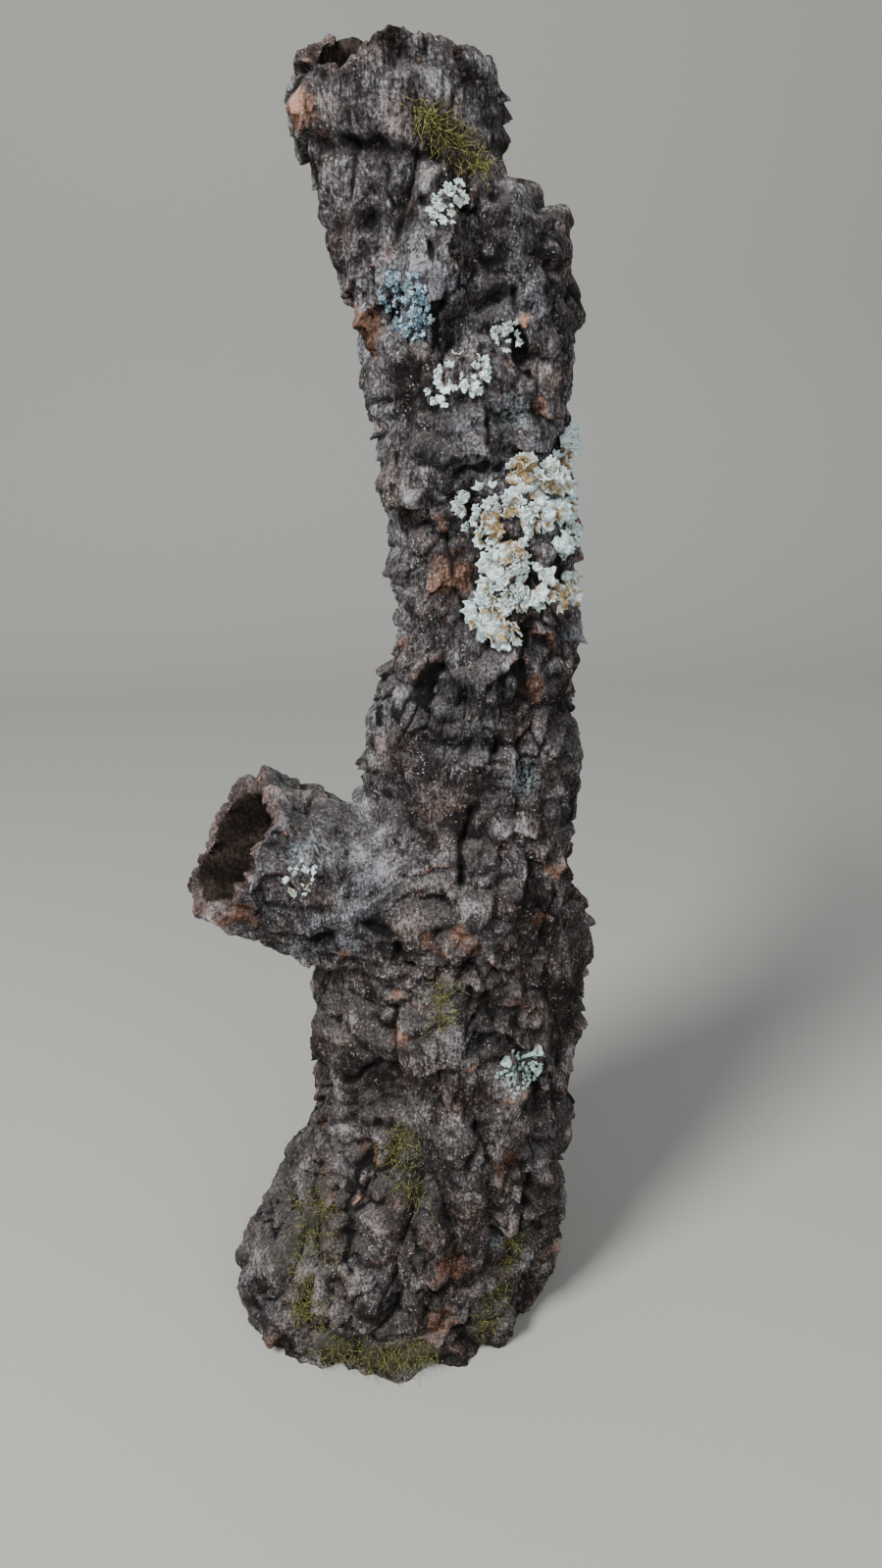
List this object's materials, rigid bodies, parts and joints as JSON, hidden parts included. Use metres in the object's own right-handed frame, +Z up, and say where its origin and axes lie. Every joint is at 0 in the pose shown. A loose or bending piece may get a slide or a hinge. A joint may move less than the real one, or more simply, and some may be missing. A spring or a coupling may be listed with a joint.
{
  "type": "cork branch",
  "caption": "Hollow cork bark branch on a flared, flat-cut foot, with an open side limb, a broken shoulder, lichens and moss",
  "frame": {"origin": "On the surface the branch stands on, under the middle of its bounding box", "axes": "+Z up along the branch, -Y towards the side with the lichens, +X towards the broken shoulder; the side limb points to -X"},
  "size_m": [0.1824, 0.1419, 0.5562],
  "materials": {
    "cork_bark": "rough weathered virgin cork bark, matt",
    "lichen": "dry leafy lichen, matt",
    "moss": "dry moss strands, matt"
  },
  "bodies": {
    "root": {"lower_trunk": "cork_bark", "upper_trunk": "cork_bark", "side_limb": "cork_bark", "leafy_lichen": "lichen", "blue_lichen": "lichen", "top_lichen": "lichen", "small_lichen": "lichen", "shelf_lichen": "lichen", "limb_lichen": "lichen", "cup_lichen": "lichen", "top_moss": "moss", "foot_moss": "moss", "heel_moss": "moss", "crease_moss": "moss", "fork_moss": "moss", "mound_moss": "moss"}
  },
  "joints": []
}
